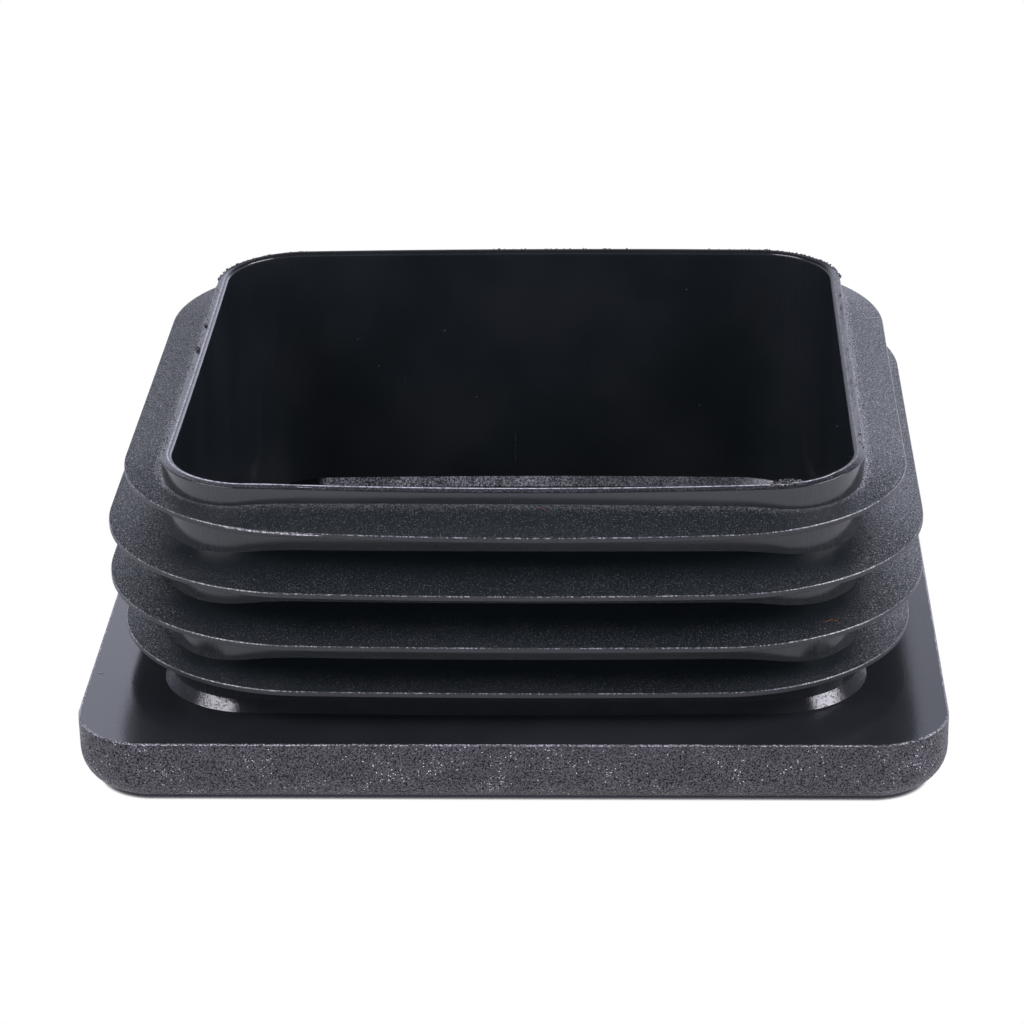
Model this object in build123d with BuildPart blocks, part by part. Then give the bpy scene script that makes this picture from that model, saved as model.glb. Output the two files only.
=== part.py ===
from build123d import *
import math
import os

# Square ribbed tube end cap, moulded in one piece of soft black plastic.
# Millimetres. The outer face of the head lies on Z = 0, centred on the origin,
# and the plug that goes into the tube rises along +Z.

# The head, which covers the cut end of the tube
head_width = 100.0  # the same as the outside of the tube
head_thickness = 8.1
head_corner_radius = 8.9
head_edge_radius = 4.3  # rounding all round the outer face

# The hollow plug. Widths are taken across the middle of its sides.
plug_width = 81.0  # outside, at the open rim
plug_length = 27.4
plug_corner_radius = 11.0  # outside, at the open rim
plug_side_radius = 800.0  # the front and back walls are very slightly crowned
plug_wall = 1.4  # at the open rim
rim_rounding = 0.3

# From the rim down to its foot, the left and right walls lean in a little, and
# the front and back walls lean out
plug_side_lean = 0.35  # each
plug_front_lean = 1.05  # each
plug_foot_corner_radius = 10.0  # outside, on top of the foot

# The bevelled foot where the plug leaves the head
foot_height = 1.2
foot_spread = 1.0

# The hollow runs down into the head and leaves a thin floor, with a bevel round it
floor_thickness = 2.2
floor_bevel = 1.0
hollow_draft = 1.0  # degrees

# The fins, from the head upwards. Each has a thin upright tip, and an upper side
# that rises to the wall. They bend back as the plug goes into the tube.
fin_widths = (92.9, 95.8, 95.6, 91.4)
fin_side_radii = (950.0, 950.0, 500.0, 270.0)  # the front and back sides are crowned
first_fin_height = 4.75  # upper edge of the lowest tip above the head
fin_pitch = 6.3
fin_tip_thickness = 0.6
fin_slope = 19.0  # degrees
fin_corner_centre = 23.4  # from the middle to the centre of every corner arc


class CrownedSquare(BaseSketchObject):
    # Left and right sides are straight, and width apart. Front and back are
    # shallow arcs, and depth apart at their middle.
    def __init__(self, width, depth, corner_radius, side_radius):
        side = width / 2
        front = depth / 2
        corner = front - side_radius + math.sqrt(side_radius**2 - side**2)
        with BuildSketch() as outline:
            with BuildLine():
                Line((side, -corner), (side, corner))
                ThreePointArc((side, corner), (0, front), (-side, corner))
                Line((-side, corner), (-side, -corner))
                ThreePointArc((-side, -corner), (0, -front), (side, -corner))
            make_face()
            fillet(outline.vertices(), corner_radius)
        super().__init__(outline.sketch)


def rim_outline(growth):
    # The outside of the plug at the rim, moved outwards by growth
    CrownedSquare(
        plug_width + 2 * growth,
        plug_width + 2 * growth,
        plug_corner_radius + growth,
        plug_side_radius + growth,
    )


def foot_outline(growth):
    # The outside of the plug on top of its foot, moved outwards by growth
    CrownedSquare(
        plug_width - 2 * plug_side_lean + 2 * growth,
        plug_width + 2 * plug_front_lean + 2 * growth,
        plug_foot_corner_radius + growth,
        plug_side_radius + growth,
    )


def fin_outline(number):
    width = fin_widths[number]
    CrownedSquare(width, width, width / 2 - fin_corner_centre, fin_side_radii[number])


rim_height = head_thickness + plug_length
hollow_depth = rim_height - floor_thickness
hollow_shrink = hollow_depth * math.tan(math.radians(hollow_draft))
foot_angle = math.degrees(math.atan2(foot_spread, foot_height))

with BuildPart() as end_cap:
    with BuildSketch():
        RectangleRounded(head_width, head_width, head_corner_radius)
    extrude(amount=head_thickness)
    fillet(end_cap.edges().group_by(Axis.Z)[0], head_edge_radius)

    # Bevelled foot
    with BuildSketch(Plane.XY.offset(head_thickness)):
        foot_outline(foot_spread)
    extrude(amount=foot_height, taper=foot_angle)

    # Outside of the plug above its foot, solid for now
    with BuildSketch(Plane.XY.offset(head_thickness + foot_height)):
        foot_outline(0)
    with BuildSketch(Plane.XY.offset(rim_height)):
        rim_outline(0)
    loft(ruled=True)

    # Fins: a thin upright tip, and an upper side that rises into the wall
    for number, fin_width in enumerate(fin_widths):
        tip_height = head_thickness + first_fin_height + number * fin_pitch
        fin_depth = (fin_width - plug_width + plug_wall) / 2
        fin_rise = fin_depth * math.tan(math.radians(fin_slope))
        with BuildSketch(Plane.XY.offset(tip_height)):
            fin_outline(number)
        extrude(amount=-fin_tip_thickness)
        with BuildSketch(Plane.XY.offset(tip_height)):
            fin_outline(number)
        extrude(amount=fin_rise, taper=90 - fin_slope)

    # The hollow
    with BuildSketch(Plane.XY.offset(floor_thickness)):
        rim_outline(-plug_wall - hollow_shrink)
    extrude(amount=hollow_depth, taper=-hollow_draft, mode=Mode.SUBTRACT)

    hollow_floor = end_cap.faces().filter_by(Plane.XY).sort_by(Axis.Z)[1]
    chamfer(hollow_floor.edges(), floor_bevel)
    fillet(end_cap.edges().group_by(Axis.Z)[-1], rim_rounding)

end_cap.part.label = "tube_end_cap"

os.makedirs("parts", exist_ok=True)
export_step(end_cap.part, "parts/tube_end_cap.step")
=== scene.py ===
import math
import random

import bpy
import bmesh
from mathutils import Matrix, Vector


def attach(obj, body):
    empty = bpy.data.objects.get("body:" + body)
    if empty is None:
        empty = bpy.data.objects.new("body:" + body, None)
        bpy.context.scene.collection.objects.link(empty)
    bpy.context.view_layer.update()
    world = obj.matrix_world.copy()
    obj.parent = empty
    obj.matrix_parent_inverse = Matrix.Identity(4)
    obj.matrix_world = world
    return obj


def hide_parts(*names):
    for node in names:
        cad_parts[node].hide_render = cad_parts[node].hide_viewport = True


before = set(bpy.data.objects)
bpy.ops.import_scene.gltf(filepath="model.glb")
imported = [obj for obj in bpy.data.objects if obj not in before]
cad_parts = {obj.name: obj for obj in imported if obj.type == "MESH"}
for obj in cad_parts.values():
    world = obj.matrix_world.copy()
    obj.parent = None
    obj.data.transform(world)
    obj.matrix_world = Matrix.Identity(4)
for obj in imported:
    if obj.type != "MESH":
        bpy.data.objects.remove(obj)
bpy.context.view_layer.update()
random.seed(12)
millimetre = 0.001
smoothAngle = 28  # degrees, edges sharper than this stay sharp


class Signal:
    # One output of a node. Adding or multiplying signals adds the Math nodes.
    def __init__(self, tree, socket):
        self.tree = tree
        self.socket = socket

    def combine(self, operation, *values):
        mathNode = self.tree.nodes.new("ShaderNodeMath")
        mathNode.operation = operation
        for place, value in enumerate(values):
            plug(self.tree, mathNode.inputs[place], value)
        return Signal(self.tree, mathNode.outputs[0])

    def __add__(self, other):
        return self.combine("ADD", self, other)

    def __radd__(self, other):
        return self.combine("ADD", other, self)

    def __sub__(self, other):
        return self.combine("SUBTRACT", self, other)

    def __rsub__(self, other):
        return self.combine("SUBTRACT", other, self)

    def __mul__(self, other):
        return self.combine("MULTIPLY", self, other)

    def __rmul__(self, other):
        return self.combine("MULTIPLY", other, self)

    def __gt__(self, other):
        return self.combine("GREATER_THAN", self, other)

    def __lt__(self, other):
        return self.combine("LESS_THAN", self, other)


def plug(tree, socket, value):
    if isinstance(value, Signal):
        tree.links.new(value.socket, socket)
    elif isinstance(value, tuple) and len(value) == 3 and socket.type == "RGBA":
        socket.default_value = (*value, 1)
    else:
        socket.default_value = value


class Finish:
    # A node tree, and one method that adds any node to it. The others are its common uses.
    def __init__(self, name=None, tree=None):
        self.material = None
        if tree is None:
            self.material = bpy.data.materials.new(name)
            self.material.use_nodes = True
            tree = self.material.node_tree
        self.tree = tree
        self.tree.nodes.clear()

    def add(self, kind, settings=None, inputs=None, output=0):
        node = self.tree.nodes.new("ShaderNode" + kind)
        for name, value in (settings or {}).items():
            if name == "stops":
                ramp = node.color_ramp
                while len(ramp.elements) < len(value):
                    ramp.elements.new(0.5)
                for element, (place, shade) in zip(ramp.elements, value):
                    element.position = place
                    element.color = (*shade, 1) if isinstance(shade, tuple) else (shade, shade, shade, 1)
            else:
                setattr(node, name, value)
        for name, value in (inputs or {}).items():
            plug(self.tree, node.inputs[name], value)
        return Signal(self.tree, node.outputs[output])

    def objectPlace(self):
        # Object coordinates, in metres
        return self.add("TexCoord", output=3)

    def noise(self, place, perMetre, detail=2.0, roughness=0.5, distortion=0.0):
        return self.add("TexNoise", inputs={"Vector": place, "Scale": perMetre, "Detail": detail,
                                            "Roughness": roughness, "Distortion": distortion})

    def mixColours(self, factor, first, second):
        # In this node the sockets for colours are inputs 6 and 7 and output 2
        node = self.tree.nodes.new("ShaderNodeMix")
        node.data_type = "RGBA"
        plug(self.tree, node.inputs[0], factor)
        plug(self.tree, node.inputs[6], first)
        plug(self.tree, node.inputs[7], second)
        return Signal(self.tree, node.outputs[2])

    def between(self, value, low, high):
        # 0 below low, 1 above high, and a smooth step from one to the other
        return self.add("MapRange", {"interpolation_type": "SMOOTHSTEP"},
                        {"Value": value, "From Min": low, "From Max": high})

    def stretch(self, value, low, high, first, last):
        # From first at low to last at high, evenly
        return self.add("MapRange", inputs={"Value": value, "From Min": low, "From Max": high,
                                            "To Min": first, "To Max": last})

    def along(self, place, axis, start, end):
        # 0 at start and 1 at end along an axis, both in millimetres
        distance = self.add("SeparateXYZ", inputs={"Vector": place}, output=axis)
        if end < start:
            distance, start, end = distance * -1, -start, -end
        return self.between(distance, start * millimetre, end * millimetre)

    def bothSides(self, place, start, end):
        # 0 at start and 1 at end, in millimetres to the left and to the right of the middle
        left, right = (self.along(place, 0, side * start, side * end) for side in (-1, 1))
        return left.combine("MAXIMUM", left, right)

    def plastic(self, colour, roughness, height, depth):
        # The depth of the relief is in millimetres
        relief = self.add("Bump", inputs={"Height": height, "Strength": 1.0, "Distance": depth * millimetre})
        return self.add("BsdfPrincipled", inputs={
            "Base Color": colour, "Roughness": roughness, "Normal": relief})

    def darken(self, shader, share, colour):
        # Puts a matt colour in place of a share of the plastic
        matt = self.add("BsdfDiffuse", inputs={"Color": colour})
        return self.add("MixShader", inputs={0: share, 1: shader, 2: matt})

    def surface(self, shader, kind="OutputMaterial"):
        output = self.tree.nodes.new("ShaderNode" + kind)
        self.tree.links.new(shader.socket, output.inputs["Surface"])
        return self.material


# Plastic finishes. A pair of values for a pattern says between which values of its noise it changes.

headPlastic = dict(
    darkColour=(0.009, 0.008, 0.012), lightColour=(0.071, 0.069, 0.081), roughness=0.42,
    pitSpacing=0.20, pitDepth=0.10,  # mm
    pitDetail=2.5, pitRoughness=0.6, pitDistortion=0.8,
    pits=(0.37, 0.47), relief=(0.30, 0.56), tone=(0.42, 0.60),
    pitColour=(0.003, 0.003, 0.005), pitShare=0.8,  # how much of the gloss is lost in a pit, where the near-black colour paints shade
    smoothHeights=(0.66, 2.2), smoothPits=0.25,  # mm, the pits die out to this share towards the outer face
    clusterSize=3.5, clusterTone=0.15,  # mm, and its share in the tone
    # the glints are painted highlights: light specks put into the base colour, a little glossier
    glintColour=(0.80, 0.79, 0.83), glintSpacing=0.19, glintRadius=0.36,  # mm, and a share of the spacing
    glintShare=0.055, clusters=(0.50, 0.72), apart=0.25, together=3.0,  # the glints come in loose groups
    glintHeight=0.5, glintGloss=0.15,
)


def makePitted(name, look):
    finish = Finish(name)
    place = finish.objectPlace()
    up = finish.add("SeparateXYZ", inputs={"Vector": place}, output=2)
    worms = finish.noise(place, 1000 / look["pitSpacing"], look["pitDetail"], look["pitRoughness"],
                         look["pitDistortion"])
    patches = finish.noise(place, 1000 / look["clusterSize"])
    high = finish.between(up, *(height * millimetre for height in look["smoothHeights"]))
    pits = (1 - finish.between(worms, *look["pits"])) * (look["smoothPits"] + high * (1 - look["smoothPits"]))
    # the first output of the cells is the distance from their middle, the second a colour for each
    cells = {"Vector": place, "Scale": 1000 / look["glintSpacing"]}
    distance = finish.add("TexVoronoi", inputs=cells)
    chance = finish.add("SeparateColor", inputs={0: finish.add("TexVoronoi", inputs=cells, output=1)})
    grouped = look["apart"] + finish.between(patches, *look["clusters"]) * look["together"]
    glints = (chance > 1 - look["glintShare"] * grouped) * (distance < look["glintRadius"])
    height = finish.between(worms, *look["relief"]) + glints * look["glintHeight"]
    tone = worms * (1 - look["clusterTone"]) + patches * look["clusterTone"]
    colour = finish.mixColours(finish.between(tone, *look["tone"]), look["darkColour"], look["lightColour"])
    # painted highlights: the glints take their light colour
    colour = finish.mixColours(glints, colour, look["glintColour"])
    skin = finish.plastic(colour, look["roughness"] - glints * look["glintGloss"], height, look["pitDepth"])
    # painted shade: the pits take a near-black matt colour
    return finish.surface(finish.darken(skin, pits * look["pitShare"], look["pitColour"]))


finPlastic = dict(
    darkColour=(0.0080, 0.0112, 0.0128), lightColour=(0.120, 0.122, 0.136), roughness=0.32,
    grainSpacing=0.17, grainDepth=0.060,  # mm
    grainDetail=3.0, grainRoughness=0.7, salt=(0.545, 0.69),
    fade=(0.15, 0.80),  # the grain dies out between these shares of the way to the plug, and its light specks with it, which paints shade under the fin above
    leastSalt=0.10, leastRelief=0.35,  # what is left of it there
    patchesPerMetre=180.0, patchDetail=3.0, patchFade=0.6,  # patches where it dies out sooner or later
    grainDulls=0.08,  # added to the roughness where it hasn't died out
    sides=(36.0, 42.0),  # mm to the left and to the right, where it no longer dies out
    litSideColour=(0.40, 0.40, 0.43), pits=(0.38, 0.53), pitShare=0.70,  # there it is lighter, a painted highlight on the fins' ends, and has dark pits
    root=(0.70, 1.0), rootGrain=0.0, rootLift=0.3,  # near the plug: where, how much, and what all of it adds
)
# the top fin has no fin above it: it keeps its grain and light specks up to the plug, with more specks near
# it
topFinPlastic = dict(finPlastic, fade=(1.3, 1.8), rootGrain=0.35)


def makeSalted(name, look):
    finish = Finish(name)
    place = finish.objectPlace()
    inward = finish.add("Attribute", {"attribute_name": "inward"}, output=2)  # a single value
    grain = finish.noise(place, 1000 / look["grainSpacing"], look["grainDetail"], look["grainRoughness"])
    patches = finish.noise(place, look["patchesPerMetre"], look["patchDetail"])
    sides = finish.bothSides(place, *look["sides"])
    rough = 1 - finish.between(inward + (patches - 0.5) * look["patchFade"], *look["fade"])
    rough = rough.combine("MAXIMUM", rough, sides)
    root = finish.between(inward, *look["root"]) * look["rootGrain"]
    salt = finish.between(grain + root * look["rootLift"], *look["salt"])
    # painted shade: the light specks thin out towards the plug, under the fin above
    salt = salt * (look["leastSalt"] + rough * (1 - look["leastSalt"]))
    # painted highlight: lighter specks on the left and right ends of the fins
    lightColour = finish.mixColours(sides, look["lightColour"], look["litSideColour"])
    height = grain * (look["leastRelief"] + rough * (1 - look["leastRelief"]))
    skin = finish.plastic(finish.mixColours(salt, look["darkColour"], lightColour),
                          look["roughness"] + rough * look["grainDulls"], height, look["grainDepth"])
    pits = (1 - finish.between(grain, *look["pits"])) * sides * look["pitShare"]
    return finish.surface(finish.darken(skin, pits, look["darkColour"]))


# on the fins' upper edges the light dots are a painted highlight, the thin bright line along each edge
edgePlastic = dict(
    darkColour=(0.026, 0.027, 0.031), lightColour=(0.30, 0.30, 0.33), roughness=0.30,
    dotSpacing=0.26, dotDepth=0.03,  # mm
    dots=(0.47, 0.64), dotDetail=3.0, dotRoughness=0.65,
    wavesPerMetre=300.0, waveDots=0.25, waveRoughness=0.1,  # what the waves change
)
# painted highlight: the light dots on the head's upper edge make a bright dotted line
headEdgePlastic = dict(edgePlastic, darkColour=(0.040, 0.039, 0.045), lightColour=(0.46, 0.45, 0.49),
                       dots=(0.46, 0.62))
tipPlastic = dict(edgePlastic, darkColour=(0.020, 0.021, 0.024), lightColour=(0.040, 0.040, 0.045),
                  dots=(0.3, 0.8), matte=0.45)
# dim and the painted shade set in along an axis (0 or 1) between a start and an end in mm, and then hold:
# dim takes that share of the dots, fading a painted highlight, and the painted shade puts that share of its
# dark matt colour over the finish
# the rim's light dots paint a highlight on its crest, dimmed away from the front; its back and right side get
# painted shade
rimPlastic = dict(
    edgePlastic, darkColour=(0.060, 0.061, 0.068), lightColour=(0.50, 0.50, 0.54), roughness=0.20,
    dotSpacing=0.6, dotDepth=0.02, dots=(0.34, 0.60), dim=((1, -37.5, -34.0, 0.60),),
    paintedShade=((1, 29.5, 34.0, 0.85), (0, 34.0, 39.5, 0.34)), paintedShadeColour=(0.012, 0.012, 0.014),
)
# the rim's edges take the rim's painted shade at the back and on the right
rimEdgePlastic = dict(
    edgePlastic, darkColour=(0.014, 0.015, 0.018), lightColour=(0.060, 0.060, 0.068), roughness=0.16,
    dots=(0.48, 0.70), paintedShade=rimPlastic["paintedShade"], paintedShadeColour=rimPlastic["paintedShadeColour"],
)
# the hollow's floor: its light dots paint a sheen on the grain, dimmed from left to right, and its left end
# gets painted shade
floorPlastic = dict(
    edgePlastic, darkColour=(0.040, 0.043, 0.050), lightColour=(0.44, 0.45, 0.49), roughness=0.14,
    dotSpacing=0.22, dotDepth=0.05, dots=(0.42, 0.68), dim=((0, -20.0, 28.0, 0.58),),
    paintedShade=((0, -27.9, -29.6, 1.0),), paintedShadeColour=(0.006, 0.006, 0.007),
)
footPlastic = dict(
    edgePlastic, darkColour=(0.016, 0.017, 0.020), lightColour=(0.030, 0.030, 0.034), roughness=0.09,
    dotSpacing=0.24, dotDepth=0.012, dots=(0.4, 0.7),
    holes=(0.53, 0.59, 0.80),  # of the grain, from and to, and how much of the gloss is lost in them
    # painted shade on the foot's left and right ends
    paintedShade=((0, -36.4, -38.4, 0.50), (0, 36.4, 38.4, 0.50)), paintedShadeColour=(0.016, 0.017, 0.020),
)
burrPlastic = dict(edgePlastic, darkColour=(0.010, 0.010, 0.012), lightColour=(0.20, 0.19, 0.21),
                   roughness=0.18, dots=(0.44, 0.66))
scratchedPlastic = dict(edgePlastic, darkColour=(0.015, 0.016, 0.018), lightColour=(0.110, 0.112, 0.120),
                        dots=(0.44, 0.62))
# painted highlights: bright lines along edges, on the rim partly its light burrs
highlightAndBurrPlastic = dict(edgePlastic, darkColour=(0.06, 0.06, 0.07), lightColour=(0.60, 0.59, 0.62),
                     dots=(0.40, 0.60))
hairStrand = dict(edgePlastic, darkColour=(0.16, 0.06, 0.02), lightColour=(0.55, 0.25, 0.10))
redStrand = dict(edgePlastic, darkColour=(0.12, 0.015, 0.015), lightColour=(0.40, 0.06, 0.05))
dustGrain = dict(edgePlastic, darkColour=(0.22, 0.22, 0.24), lightColour=(0.65, 0.64, 0.66))


def makeDotted(name, look):
    finish = Finish(name)
    place = finish.objectPlace()
    grain = finish.noise(place, 1000 / look["dotSpacing"], look["dotDetail"], look["dotRoughness"])
    waves = finish.noise(place, look["wavesPerMetre"])
    dots = finish.between(grain + (waves - 0.5) * look["waveDots"], *look["dots"])
    for axis, start, end, share in look.get("dim", ()):
        dots = dots * (1 - finish.along(place, axis, start, end) * share)
    colour = finish.mixColours(dots, look["darkColour"], look["lightColour"])
    shader = finish.plastic(colour, look["roughness"] + (waves - 0.5) * look["waveRoughness"],
                            grain + waves, look["dotDepth"])
    if "holes" in look:
        start, end, share = look["holes"]
        shader = finish.darken(shader, finish.between(grain, start, end) * share, look["darkColour"])
    if "matte" in look:
        shader = finish.darken(shader, look["matte"], look["darkColour"])
    # painted shade: a dark matt colour laid over the finish along an axis
    for axis, start, end, share in look.get("paintedShade", ()):
        shader = finish.darken(shader, finish.along(place, axis, start, end) * share, look["paintedShadeColour"])
    return finish.surface(shader)


polishedPlastic = dict(
    colour=(0.0095, 0.0125, 0.0145), hazeColour=(0.0155, 0.0180, 0.0210), haze=(0.35, 0.7),
    roughness=0.17, wavesPerMetre=60.0, waveRoughness=0.10, waveHeight=1.5,
    # flow marks that run along the plug, lighter near the corners, which paints light there
    streakWidth=0.30, streakDepth=0.010,  # mm
    streakLength=0.03,  # how much slower they change upwards than across
    streakColour=(0.0115, 0.0145, 0.0170), streaks=(0.50, 0.68), streakRoughness=0.12,
    corners=(20.0, 40.0), leastStreak=0.3,  # mm from the middle, where they set in, and their relief before
)
# lighter copies of the polished plastic for the head's top and the outer walls, the darkest one for the
# hollow and the fins' undersides: painted light and shade
headTopPlastic = dict(polishedPlastic, colour=(0.0150, 0.0170, 0.0200), hazeColour=(0.0230, 0.0250, 0.0290))
wallPlastic = dict(
    polishedPlastic, colour=(0.0130, 0.0155, 0.0180), hazeColour=(0.0180, 0.0200, 0.0230),
    roughness=0.14, streakWidth=0.13, streakDepth=0.006,
    streakColour=(0.024, 0.025, 0.029), corners=(26.0, 36.0),
)


def makePolished(name, look):
    finish = Finish(name)
    place = finish.objectPlace()
    stretched = finish.add("Mapping", inputs={"Vector": place, "Scale": (1, 1, look["streakLength"])})
    streaks = finish.noise(stretched, 1000 / look["streakWidth"])
    waves = finish.noise(place, look["wavesPerMetre"])
    roughness = look["roughness"] + (streaks - 0.5) * look["streakRoughness"]
    roughness = roughness + (waves - 0.5) * look["waveRoughness"]
    near = finish.bothSides(place, *look["corners"])
    colour = finish.mixColours(finish.between(waves, *look["haze"]), look["colour"], look["hazeColour"])
    marks = finish.between(streaks, *look["streaks"]) * near
    # painted light: the streaks take their lighter colour only near the corners
    colour = finish.mixColours(marks, colour, look["streakColour"])
    height = streaks * (look["leastStreak"] + near * (1 - look["leastStreak"])) + waves * look["waveHeight"]
    return finish.surface(finish.plastic(colour, roughness, height, look["streakDepth"]))


finishes = dict(
    grained=makePitted("grained_plastic", headPlastic),
    fin=makeSalted("fin_plastic", finPlastic),
    topFin=makeSalted("top_fin_plastic", topFinPlastic),
    polished=makePolished("polished_plastic", polishedPlastic),
    headTop=makePolished("head_top_plastic", headTopPlastic),
    wall=makePolished("wall_plastic", wallPlastic),
    edge=makeDotted("edge_plastic", edgePlastic),
    headEdge=makeDotted("head_edge_plastic", headEdgePlastic),
    tip=makeDotted("tip_plastic", tipPlastic),
    foot=makeDotted("foot_plastic", footPlastic),
    rim=makeDotted("rim_plastic", rimPlastic),
    rimEdge=makeDotted("rim_edge_plastic", rimEdgePlastic),
    floor=makeDotted("floor_plastic", floorPlastic),
    burr=makeDotted("burr_plastic", burrPlastic),
    scratch=makeDotted("scratched_plastic", scratchedPlastic),
    bright=makeDotted("highlight_and_burr_plastic", highlightAndBurrPlastic),
    hair=makeDotted("hair_strand", hairStrand),
    fibre=makeDotted("red_strand", redStrand),
    dust=makeDotted("dust_grain", dustGrain),
)
wearSlots = ("burr", "scratch", "bright", "hair", "fibre", "dust")
print("plastic finishes ready")

# The cap: one closed skin, drawn out ring by ring from the outer face of the head to the floor of the hollow

capShape = dict(  # mm
    headHalf=50.0, headCorner=8.9, headRounding=4.3, headThickness=8.1, headSteps=9,
    footHalfWidth=40.15, footHalfDepth=41.55, footCorner=10.0, footHeight=1.2, footSpread=1.0,
    rimHalf=40.5, rimCorner=11.0, rimHeight=35.5, wall=1.4, sideCrown=800.0,
    rimRounding=0.16, rimDrop=0.13, crestPlace=0.72, crestWidth=0.19,  # the rim falls outwards from its crest
    crestFall=0.005,  # the crest's edges lie that much lower than its middle
    rimSteps=6, rimEdgeStep=4,  # of each rounding of the rim, and the step at which its finish changes
    wallTilt=2.2,  # degrees, each step of the wall widens upwards
    rimSag=0.36, sagPlace=6.0, sagReach=33.0,  # the middles of the front and of the sides lie lower
    finHalves=(46.45, 47.9, 47.8, 45.7), finCrowns=(950.0, 950.0, 500.0, 270.0), finCornerCentre=23.4,
    finHeights=(12.83, 19.24, 25.54, 31.74), finTip=0.6, finSlope=19.0, rootRise=2.0,
    finSag=0.05, finTilts=(0.002, 0.003, 0.003, 0.0075), finBack=1.5,
    edgeRounding=0.08, lip=0.1, finLip=0.04, rimLip=0.05,  # a lip: how far from an edge the wall's ring lies
    floorHeight=2.15, floorBevelHeight=1.15, floorBevel=0.8, floorCorner=11.5, hollowNarrowing=0.6,
    cornerSteps=40, sideSteps=150,  # points along each corner and each side of a ring
    # how far in and how far down the rings at the head's upper edge lie, in edge roundings
    headEdgeRings=((0, 3, "grained"), (0, 1.5, "grained"), (0.4, 0.4, "headEdge"), (1.5, 0, "headEdge"),
                   (3, 0, "headEdge"), (5, 0, "headTop")),
    headTopInset=0.5,
    # where the rings in between lie, as shares of the way from one edge to the next
    headTopShares=(0.5, 0.97, 1), footShares=(0.08, 0.92, 1), underShare=0.9,
    finShares=(0.04, 0.25, 0.5, 0.75, 0.97, 1), rimShares=(0.05, 0.5, 0.95), hollowShares=(0.02, 0.5, 0.98),
    bevelShares=(0.03, 0.97, 1), floorShares=(0.03,),
)


def deselectAll():
    bpy.ops.object.select_all(action="DESELECT")


def outline(shape, halfWidth, halfDepth, corner, crown=1e6):
    # Points round a square with round corners, from its right side on. Front and back are shallow arcs.
    across = halfWidth - corner
    deep = halfDepth - crown
    along = deep + math.sqrt((crown - corner) ** 2 - across ** 2)
    turn = math.atan2(along - deep, across)
    points = []
    for step in range(shape["cornerSteps"] + 1):
        angle = turn * step / shape["cornerSteps"]
        points.append((across + corner * math.cos(angle), along + corner * math.sin(angle)))
    for step in range(1, shape["sideSteps"]):
        angle = turn + (math.pi - 2 * turn) * step / shape["sideSteps"]
        points.append((crown * math.cos(angle), deep + crown * math.sin(angle)))
    points += [(-x, y) for x, y in reversed(points[:shape["cornerSteps"] + 1])]
    for step in range(1, shape["sideSteps"]):
        points.append((-halfWidth, along * (1 - 2 * step / shape["sideSteps"])))
    return points + [(-x, -y) for x, y in points]


def distanceInside(point, half, corner, crown):
    # How far a point lies inside such an outline of equal width and depth
    x, y = abs(point[0]), abs(point[1])
    across = half - corner
    deep = half - crown
    along = deep + math.sqrt((crown - corner) ** 2 - across ** 2)
    if y <= along:
        return half - x
    if x * (along - deep) > across * (y - deep):
        return corner - math.hypot(x - across, y - along)
    return crown - math.hypot(x, y - deep)


def blend(first, second, share):
    return [tuple(a + (b - a) * share for a, b in zip(p, q)) for p, q in zip(first, second)]


def atHeight(points, height):
    return [(x, y, height) for x, y in points]


def rimOutline(shape, inset):
    return outline(shape, shape["rimHalf"] - inset, shape["rimHalf"] - inset, shape["rimCorner"] - inset,
                   shape["sideCrown"] - inset)


def footOutline(shape, grow):
    return outline(shape, shape["footHalfWidth"] + grow, shape["footHalfDepth"] + grow,
                   shape["footCorner"] + grow, shape["sideCrown"] + grow)


def wallOutline(shape, height, grow=0):
    # The outside of the plug, which changes evenly from its foot to its rim
    footTop = shape["headThickness"] + shape["footHeight"]
    share = (height - footTop) / (shape["rimHeight"] - footTop)
    return blend(footOutline(shape, grow), rimOutline(shape, -grow), share)


def hollowOutline(shape, height):
    # The inside of the plug narrows on its way down, and its corners get rounder
    half = shape["rimHalf"] - shape["wall"]
    floorHalf = half - shape["hollowNarrowing"]
    top = outline(shape, half, half, shape["rimCorner"] - shape["wall"], shape["sideCrown"])
    bottom = outline(shape, floorHalf, floorHalf, shape["floorCorner"], shape["sideCrown"])
    return blend(bottom, top, (height - shape["floorHeight"]) / (shape["rimHeight"] - shape["floorHeight"]))


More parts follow.
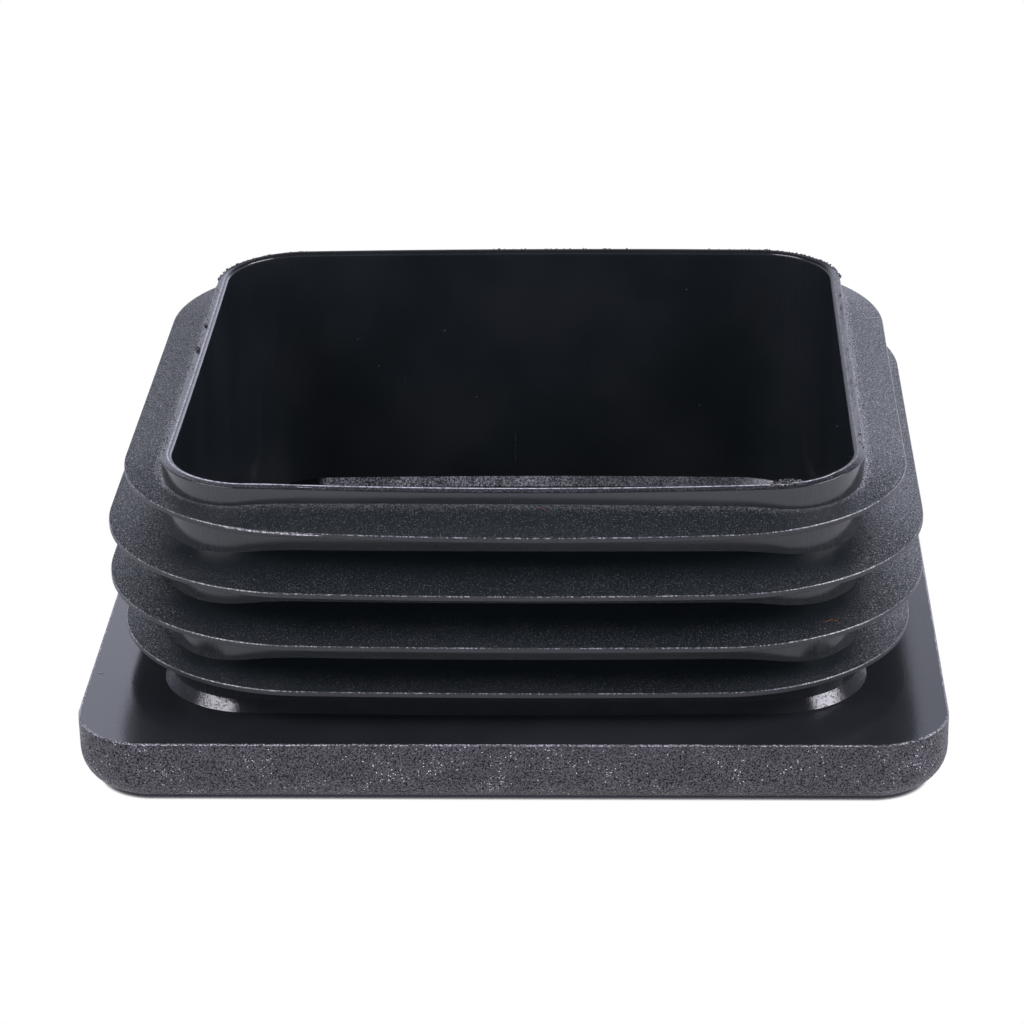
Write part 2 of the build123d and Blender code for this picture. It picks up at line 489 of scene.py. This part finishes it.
def finRings(shape, number):
    half, crown, top = (shape[key][number] for key in ("finHalves", "finCrowns", "finHeights"))
    corner = half - shape["finCornerCentre"]
    bottom = top - shape["finTip"]
    rounding = shape["edgeRounding"]
    slope = math.tan(math.radians(shape["finSlope"]))
    farthest = math.sqrt(2) * shape["finCornerCentre"] + corner

    def lift(x, y):
        # the middles of the sides sag a little and the corners stand up as much, the left side is higher
        # than the right one, and the right one rises again towards the back
        reach = max(0, math.hypot(x, y) - half) / (farthest - half)
        back = max(0, y) / half if x > 0 else 0
        return shape["finSag"] * (reach - 0.5) - shape["finTilts"][number] * x * (1 - back * shape["finBack"])

    def edgeRing(inset, height):
        points = outline(shape, half - inset, half - inset, corner - inset, crown - inset)
        return [(x, y, height + lift(x, y)) for x, y in points]

    def upperSide(points):
        climbs = [distanceInside(point, half, corner, crown) * slope for point in points]
        return [(x, y, top + climb + lift(x, y)) for (x, y), climb in zip(points, climbs)]

    # between two fins the wall widens a little upwards, and it steps back in at each of them
    tilt = math.tan(math.radians(shape["wallTilt"]))
    rise = shape["rootRise"]
    last = number == len(shape["finHeights"]) - 1
    wall = wallOutline(shape, shape["rimHeight"], -rise * tilt) if last else wallOutline(shape, top + rise)
    rootBelow = shape["finHeights"][number - 1] + rise if number else bottom - rise
    wallBelow = wallOutline(shape, rootBelow, (bottom - rootBelow) * tilt)
    edge = outline(shape, half - rounding, half - rounding, corner - rounding, crown - rounding)
    under = atHeight(wallBelow, bottom)
    rings = [(under, "wall", 1),
             (blend(under, edgeRing(rounding, bottom), shape["underShare"]), "polished", 0),
             (edgeRing(rounding, bottom), "polished", 0), (edgeRing(0, bottom + rounding), "tip", 0),
             (edgeRing(0, top - rounding), "tip", 0), (upperSide(edge), "edge", 0)]
    skin = "topFin" if last else "fin"
    rings += [(upperSide(blend(edge, wall, share)), skin, share) for share in shape["finShares"]]
    rings.append(([(x, y, z + shape["finLip"]) for x, y, z in rings[-1][0]], "wall", 1))
    return rings


def capRings(shape):
    # Each ring is its points, the finish of the faces that lead to it from the ring before, and how near it
    # is to the plug, from 0 to 1
    half, corner, rounding = shape["headHalf"], shape["headCorner"], shape["headRounding"]
    head, rim, floor = shape["headThickness"], shape["rimHeight"], shape["floorHeight"]
    foot = head + shape["footHeight"]
    bevelTop = floor + shape["floorBevelHeight"]
    small = shape["edgeRounding"]
    rings = []

    def headRing(inset, height, finish):
        points = outline(shape, half - inset, half - inset, corner - inset)
        rings.append((atHeight(points, height), finish, 0))

    def plugRing(inset, height, finish):
        rings.append(([(x, y, height - sag(x, y)) for x, y in rimOutline(shape, inset)], finish, 1))

    def sag(x, y):
        if y > abs(x):
            return 0
        along = y if abs(x) > abs(y) else x - shape["sagPlace"]
        return shape["rimSag"] * max(0, 1 - (along / shape["sagReach"]) ** 2)

    def addBetween(first, second, shares, finish):
        for share in shares:
            rings.append((blend(first, second, share), finish, 1))

    for step in range(shape["headSteps"] + 1):
        angle = math.radians(90 * step / shape["headSteps"])
        headRing(rounding * (1 - math.sin(angle)), rounding * (1 - math.cos(angle)), "grained")
    for inset, depth, finish in shape["headEdgeRings"]:
        headRing(small * inset, head - small * depth, finish)
    inset = shape["headTopInset"]
    topEdge = atHeight(outline(shape, half - inset, half - inset, corner - inset), head)
    footBottom = atHeight(footOutline(shape, shape["footSpread"]), head)
    addBetween(topEdge, footBottom, shape["headTopShares"], "headTop")
    addBetween(footBottom, atHeight(wallOutline(shape, foot), foot), shape["footShares"], "foot")
    rings.append((atHeight(wallOutline(shape, foot + shape["lip"]), foot + shape["lip"]), "wall", 1))
    for number in range(len(shape["finHeights"])):
        rings += finRings(shape, number)

    outer, crest = shape["rimRounding"], shape["crestPlace"]
    inner = shape["wall"] - crest - shape["crestWidth"]
    edgeHeight = rim - shape["rimDrop"]
    crestEdge = rim - shape["crestFall"]
    plugRing(0, edgeHeight - outer - shape["rimLip"], "wall")
    for step in range(shape["rimSteps"]):
        angle = math.radians(90 * step / shape["rimSteps"])
        finish = "wall" if step < shape["rimEdgeStep"] else "rimEdge"
        plugRing(outer * (1 - math.cos(angle)), edgeHeight - outer * (1 - math.sin(angle)), finish)
    for share in shape["rimShares"]:
        plugRing(outer + (crest - outer) * share, edgeHeight + shape["rimDrop"] * share, "rimEdge")
    plugRing(crest, crestEdge, "rimEdge")
    plugRing(crest + shape["crestWidth"] / 2, rim, "rim")
    plugRing(crest + shape["crestWidth"], crestEdge, "rim")
    for step in range(1, shape["rimSteps"] + 1):
        angle = math.radians(90 * step / shape["rimSteps"])
        finish = "rimEdge" if step < shape["rimEdgeStep"] else "polished"
        inset = shape["wall"] - inner * (1 - math.sin(angle))
        plugRing(inset, crestEdge - inner * (1 - math.cos(angle)), finish)
    for share in shape["hollowShares"]:
        height = (rim - inner) * (1 - share) + bevelTop * share
        rings.append((atHeight(hollowOutline(shape, height), height), "polished", 1))
    floorHalf = shape["rimHalf"] - shape["wall"] - shape["hollowNarrowing"] - shape["floorBevel"]
    floorCorner = shape["floorCorner"] - shape["floorBevel"]
    floorEdge = atHeight(outline(shape, floorHalf, floorHalf, floorCorner, shape["sideCrown"]), floor)
    bevelEdge = atHeight(hollowOutline(shape, bevelTop), bevelTop)
    rings.append((bevelEdge, "polished", 1))
    addBetween(bevelEdge, floorEdge, shape["bevelShares"], "floor")
    addBetween(rings[-1][0], [(0, 0, floor)] * len(floorEdge), shape["floorShares"], "polished")
    return rings


def makeSkin(name, rings, slots):
    # Draws a closed skin out of its first ring, one extrusion to each of the others
    around = len(rings[0][0])
    deselectAll()
    bpy.ops.mesh.primitive_circle_add(vertices=around, radius=0.01, fill_type="NGON")  # of any size
    skin = bpy.context.object
    skin.name = skin.data.name = name
    for slot in slots:
        skin.data.materials.append(finishes[slot])
    skin.data.attributes.new("inward", "FLOAT", "POINT")
    bpy.ops.object.mode_set(mode="EDIT")
    bpy.ops.mesh.select_mode(type="FACE")
    bpy.ops.mesh.select_all(action="SELECT")
    for number, (points, slot, inward) in enumerate(rings):
        if number:
            bpy.ops.mesh.extrude_region_move()
        work = bmesh.from_edit_mesh(skin.data)
        nearness = work.verts.layers.float["inward"]
        lid = next(face for face in work.faces if face.select)
        corners = [loop.vert for loop in lid.loops]
        if number:
            first = min(range(around), key=lambda place: (corners[place].co - start).length_squared)
            corners = corners[first:] + corners[:first]
            for edge in lid.edges:
                for face in edge.link_faces:
                    face.material_index = slots.index(slot)
        for corner, point in zip(corners, points):
            corner.co = Vector(point) * millimetre
            corner[nearness] = inward
        start = corners[0].co.copy()
        lid.material_index = slots.index(slot)
        bmesh.update_edit_mesh(skin.data)
    bpy.ops.mesh.select_all(action="SELECT")
    bpy.ops.mesh.normals_make_consistent(inside=False)
    bpy.ops.object.mode_set(mode="OBJECT")
    deselectAll()
    skin.select_set(True)
    bpy.context.view_layer.objects.active = skin
    bpy.ops.object.shade_smooth_by_angle(angle=math.radians(smoothAngle))
    return skin


cap = makeSkin("cap_body", capRings(capShape), [slot for slot in finishes if slot not in wearSlots])
print("cap", len(cap.data.vertices), "vertices", len(cap.data.polygons), "faces")
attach(cap, "root")
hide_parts("tube_end_cap")

# Wear: burrs along the rim, scratches, dust and three stray hairs, and painted highlights along some edges

wearMarks = dict(  # mm
    # along the outline of the rim, from 0 to 1 round it: start, end, how far in, how many, size
    burrs=(
        (0.000, 0.053, 0.05, 70, 0.36), (0.053, 0.075, 0.05, 12, 0.30), (0.110, 0.170, 0.00, 26, 0.30),
        (0.250, 0.303, 0.10, 56, 0.30), (0.303, 0.500, 0.12, 70, 0.17), (0.3585, 0.3602, 0.20, 6, 0.34),
        (0.3860, 0.3910, 0.25, 10, 0.34), (0.500, 0.553, 0.50, 70, 0.18), (0.553, 0.600, 0.60, 16, 0.15),
        (0.7495, 0.7610, 0.55, 40, 0.22), (0.7495, 0.7615, 0.95, 60, 0.28), (0.7500, 0.7610, 1.45, 60, 0.32),
        (0.7520, 0.7600, 1.95, 24, 0.26), (0.762, 0.803, 0.50, 30, 0.17),
        (0.805, 0.995, 0.25, 60, 0.18),
    ),
    # a burr's height depends on its size alone, so where the rim sags, or a row lies off the wall,
    # it can hang clear of the cap
    burrHeight=35.42, burrMargin=0.01,
    burrShift=(0.2, 0.1), burrGrowth=(0.4, 1.0),  # mm off the outline in x and y, and shares of the size
    crumbSquash=(0.25, 1.0),  # shares of its size that a crumb may have along each axis
    scratches=(
        ((-17.3, 38.60, 18.0), (-17.15, 38.55, 13.5), (-17.0, 38.50, 9.9)),
        ((9.1, 38.70, 14.3), (9.4, 38.65, 11.5), (9.6, 38.60, 8.5)),
        ((-2.4, 38.70, 11.9), (-2.45, 38.60, 8.0), (-2.5, 38.50, 4.4)),
        ((38.85, 4.0, 21.8), (38.85, 4.3, 20.6)),
        ((-1.8, -40.85, 28.65), (-1.1, -40.84, 28.25), (-0.4, -40.83, 28.15)),
        ((0.30, -40.50, 35.1), (0.30, -40.47, 33.7)),
        ((0.28, -40.9, 33.42), (0.25, -45.4, 31.85)),
        ((-37.6, -37.9, 9.10), (-38.15, -38.4, 8.2)),
        ((38.6, -36.7, 9.05), (39.2, -37.2, 8.1)),
    ),
    # bright lines along the rim's, the head's and a fin's edges: painted highlights, on the rim partly light
    # burrs
    brightMarks=(
        ((-23.9, -39.7, 35.38), (-23.3, -39.9, 35.40), (-22.6, -39.8, 35.36), (-22.0, -39.9, 35.34)),
        ((-35.1, -37.6, 35.44), (-34.2, -38.3, 35.43), (-33.0, -38.9, 35.42)),
        ((-39.4, -31.0, 35.44), (-38.3, -34.6, 35.43), (-36.6, -36.6, 35.43)),
        ((-43.3, -49.7, 8.02), (-42.5, -49.9, 7.98), (-41.6, -49.93, 7.90), (-40.6, -49.98, 7.75)),
        ((44.6, -28.2, 31.55), (43.6, -31.1, 31.55)),
        ((29.6, -39.5, 35.40), (30.4, -39.2, 35.44), (31.3, -39.5, 35.42)),
        ((31.0, -38.9, 35.40), (32.2, -38.8, 35.44), (32.9, -38.5, 35.42)),
        ((40.2, 29.2, 35.42), (40.5, 30.4, 35.44)),
        ((40.2, -27.2, 35.42), (40.5, -26.4, 35.44), (40.3, -25.5, 35.43)),
    ),
    # a painted highlight along the top fin's front left edge
    finGlint=((-33.5, -41.95, 31.84), (-31.6, -42.95, 31.84), (-29.0, -43.85, 31.84), (-26.4, -44.42, 31.82),
              (-23.5, -44.85, 31.79), (-20.5, -45.10, 31.75)),
    scratchWidth=0.04, brightWidth=0.07, glintWidth=0.20,
    hairs=(
        ("stray_hair", 0.08, "hair", (
            (35.55, -42.3, 19.78), (36.0, -42.0, 19.86), (36.5, -41.6, 19.84), (37.5, -42.0, 19.52))),
        ("red_fibre", 0.07, "fibre", ((3.5, -40.9, 33.36), (3.8, -41.2, 33.30), (4.3, -41.35, 33.19))),
        ("pale_hair", 0.06, "dust", ((-49.3, -31.6, 8.12), (-48.9, -31.9, 8.14), (-48.3, -31.9, 8.12))),
    ),
    threadSides=6, threadEnd=0.5,  # a thread's ends are this share of its width
    dust=(
        (20.7, 38.7, 30.2), (-11.7, 38.8, 24.4), (-23.4, 38.5, 23.3), (-20.7, 38.5, 19.5), (-7.6, 38.7, 14.9),
        (22.5, 38.4, 13.7), (-35.15, -38.3, 33.1), (-36.2, -39.7, 26.8), (-38.9, -38.2, 32.1),
        (38.9, 0.1, 26.3), (39.06, -25.5, 33.0), (-40.4, 13.0, 35.3), (-40.4, 4.6, 35.3),
    ),
    dustSize=0.09,
)


def joinPieces(pieces, name):
    deselectAll()
    for piece in pieces:
        piece.select_set(True)
    bpy.context.view_layer.objects.active = pieces[0]
    bpy.ops.object.join()
    joined = bpy.context.object
    joined.name = joined.data.name = name
    bpy.ops.object.transform_apply(location=True, rotation=True, scale=True)
    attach(joined, "root")
    return joined


def makeCrumb(slot):
    deselectAll()
    bpy.ops.mesh.primitive_ico_sphere_add(subdivisions=1, radius=millimetre)
    crumb = bpy.context.object
    crumb.data.materials.append(finishes[slot])
    return crumb


def placeCrumb(crumb, place, size):
    copy = crumb.copy()
    copy.data = crumb.data.copy()
    bpy.context.collection.objects.link(copy)
    copy.location = Vector(place) * millimetre
    copy.scale = [size * random.uniform(*wearMarks["crumbSquash"]) for _ in range(3)]
    copy.rotation_euler = [random.uniform(0, math.pi) for _ in range(3)]
    return copy


def makeBurrs(shape, marks):
    crumb = makeCrumb("burr")
    shiftX, shiftY = marks["burrShift"]
    burrs = []
    for start, end, inset, count, size in marks["burrs"]:
        rim = rimOutline(shape, inset)
        for _ in range(count):
            x, y = rim[int(random.uniform(start, end) * len(rim))]
            grown = size * random.uniform(*marks["burrGrowth"])
            height = min(marks["burrHeight"], shape["rimHeight"] - grown - marks["burrMargin"])
            place = (x + random.uniform(-shiftX, shiftX), y + random.uniform(-shiftY, shiftY), height)
            burrs.append(placeCrumb(crumb, place, grown))
    bpy.data.objects.remove(crumb)
    return joinPieces(burrs, "rim_burrs")


def makeThread(name, points, width, slot):
    path = [Vector(point) for point in points]
    sides = wearMarks["threadSides"]
    angles = [math.radians(360 * step / sides) for step in range(sides)]
    rings = []
    for number, point in enumerate(path):
        ahead = path[min(number + 1, len(path) - 1)] - path[max(number - 1, 0)]
        turned = ahead.to_track_quat("Z", "Y")
        radius = width / 2 * (wearMarks["threadEnd"] if number in (0, len(path) - 1) else 1)
        spokes = [Vector((radius * math.cos(angle), radius * math.sin(angle), 0)) for angle in angles]
        rings.append(([point + turned @ spoke for spoke in spokes], slot, 0))
    return makeSkin(name, rings, [slot])


makeBurrs(capShape, wearMarks)
scratches = []
# the scratches piece also takes the bright lines and the fin's glint, which are painted highlights
for marks, width, slot in (("scratches", "scratchWidth", "scratch"),
                           ("brightMarks", "brightWidth", "bright")):
    scratches += [makeThread("scratch", points, wearMarks[width], slot) for points in wearMarks[marks]]
scratches.append(makeThread("scratch", wearMarks["finGlint"], wearMarks["glintWidth"], "bright"))
joinPieces(scratches, "scratches")
for name, width, slot, points in wearMarks["hairs"]:
    joinPieces([makeThread(name, points, width, slot)], name)
speck = makeCrumb("dust")
specks = [placeCrumb(speck, place, wearMarks["dustSize"]) for place in wearMarks["dust"]]
bpy.data.objects.remove(speck)
joinPieces(specks, "dust_specks")
print("wear ready")

# Floor, lights and camera

studio = dict(
    # floorGlow is painted light: a glow of the floor that lights the cap
    floorSize=6.0, floorColour=(0.86, 0.86, 0.88), floorGlow=0.30,
    contactShadow=0.0006, shadowSamples=8,  # m, how far from the cap the floor is shaded
    shadowShades=((0.0, (0.02, 0.02, 0.03)), (0.45, (0.06, 0.055, 0.07)), (0.9, 1.0)),
    aim=(0, 0, 0.02),
    softboxColour=(0.95, 0.93, 1.03), softboxSize=(0.56, 0.2), softboxDistance=0.8,
    softboxes=(("softbox_left", -60, 43, 4.1), ("softbox_right", 81, 37, 5.2)),  # azimuth, elevation, watts
    # a dull light from the front, which nothing mirrors: azimuth, elevation, distance
    front=(-3, 18, 1.2), frontSize=(0.6, 0.6), frontColour=(0.95, 0.97, 1.0), frontEnergy=4.0,
    roomColour=(0.90, 0.93, 1.12),
    heightShades=((0.0, 1.0), (0.40, 0.85), (0.62, 0.14), (1.0, 0.08)),  # from level to straight up
    depthShades=(-0.6, 0.5, 0.3, 0.85),  # from front to back: start, end and the shade at each
    sideShades=(-0.4, 0.4, 1.08, 1.02),  # from left to right, the same way
    # bright places on the far wall: azimuth, elevation, inner and outer angle in degrees, strength
    panels=((-170, 29, 8, 17, 1.05), (161, 9, 8, 20, 1.60), (-160, 10, 8, 19, 0.12)),
)


def makeFloor():
    bpy.ops.mesh.primitive_plane_add(size=studio["floorSize"])
    floor = bpy.context.object
    floor.name = "table_top"
    finish = Finish("white_table")
    seen = finish.add("LightPath")  # 1 where the camera sees the floor itself
    occlusion = finish.add("AmbientOcclusion", {"samples": studio["shadowSamples"]},
                           {"Distance": studio["contactShadow"]}, output=1)
    shade = finish.add("ValToRGB", {"stops": studio["shadowShades"]}, {"Fac": occlusion})
    diffuse = finish.add("BsdfDiffuse", inputs={"Color": studio["floorColour"]})
    glow = finish.add("Emission", inputs={"Color": shade, "Strength": 1.0})
    # the floor also glows for every ray but the camera's, so it lights the cap like a lamp: painted light,
    # kept dark in the contact shadow
    bright = finish.add("Emission", inputs={"Color": shade, "Strength": studio["floorGlow"]})
    lit = finish.add("AddShader", inputs={0: diffuse, 1: bright})
    mixed = finish.add("MixShader", inputs={0: seen, 1: lit, 2: glow})
    floor.data.materials.append(finish.surface(mixed))


def addSoftbox(name, place, size, energy, colour):
    bpy.ops.object.light_add(type="AREA", location=place)
    lamp = bpy.context.object
    lamp.name = name
    lamp.data.shape = "RECTANGLE"
    lamp.data.size, lamp.data.size_y = size
    lamp.data.energy = energy
    lamp.data.color = colour
    lamp.rotation_euler = (Vector(studio["aim"]) - Vector(place)).to_track_quat("-Z", "Y").to_euler()
    return lamp


def direction(azimuth, elevation, distance):
    # Azimuth 0 is the front, and grows towards +X
    a, e = math.radians(azimuth), math.radians(elevation)
    return (distance * math.sin(a) * math.cos(e), -distance * math.cos(a) * math.cos(e),
            distance * math.sin(e))


def makeWorld():
    world = bpy.data.worlds.new("studio_room")
    bpy.context.scene.world = world
    world.use_nodes = True
    finish = Finish(tree=world.node_tree)
    place = finish.add("TexCoord")  # the direction, in a world
    towardsRight, towardsBack, up = (
        finish.add("SeparateXYZ", inputs={"Vector": place}, output=axis) for axis in range(3))
    height = finish.add("ValToRGB", {"stops": studio["heightShades"]}, {"Fac": up})
    depth = finish.stretch(towardsBack, *studio["depthShades"])
    side = finish.stretch(towardsRight, *studio["sideShades"])
    strength = depth * side * height
    for azimuth, elevation, inner, outer, panelStrength in studio["panels"]:
        nearness = finish.add("VectorMath", {"operation": "DOT_PRODUCT"},
                              {0: place, 1: direction(azimuth, elevation, 1)}, output=1)
        edges = (math.cos(math.radians(angle)) for angle in (outer, inner))
        strength = strength + panelStrength * finish.between(nearness, *edges)
    background = finish.add("Background", inputs={"Color": studio["roomColour"], "Strength": strength})
    finish.surface(background, "OutputWorld")


cameraView = dict(
    target=(-0.001383, 0.0, 0.014845), distance=0.43467,  # m
    elevation=23.669, turn=-2.555, roll=-1.078,  # degrees
    lens=122.32, sensorWidth=36,  # mm
    nearest=0.01,  # m
)


def makeCamera(view):
    elevation, turn, roll = (math.radians(view[key]) for key in ("elevation", "turn", "roll"))
    level = math.cos(elevation)
    forward = Vector((math.sin(turn) * level, math.cos(turn) * level, -math.sin(elevation)))
    right = Vector((math.cos(turn), -math.sin(turn), 0))
    up = right.cross(forward)
    tiltedRight = right * math.cos(roll) + up * math.sin(roll)
    tiltedUp = up * math.cos(roll) - right * math.sin(roll)
    place = Vector(view["target"]) - forward * view["distance"]
    bpy.ops.object.camera_add()
    camera = bpy.context.object
    camera.matrix_world = Matrix((
        (tiltedRight.x, tiltedUp.x, -forward.x, place.x),
        (tiltedRight.y, tiltedUp.y, -forward.y, place.y),
        (tiltedRight.z, tiltedUp.z, -forward.z, place.z),
        (0, 0, 0, 1)))
    camera.data.lens = view["lens"]
    camera.data.sensor_width = view["sensorWidth"]
    camera.data.clip_start = view["nearest"]
    bpy.context.scene.camera = camera


makeFloor()
makeWorld()
for name, azimuth, elevation, energy in studio["softboxes"]:
    addSoftbox(name, direction(azimuth, elevation, studio["softboxDistance"]), studio["softboxSize"], energy,
               studio["softboxColour"])
frontFill = addSoftbox("front_fill", direction(*studio["front"]), studio["frontSize"], studio["frontEnergy"],
                       studio["frontColour"])
frontFill.visible_glossy = False
makeCamera(cameraView)
bpy.context.scene.view_settings.view_transform = "Standard"
print("studio ready")
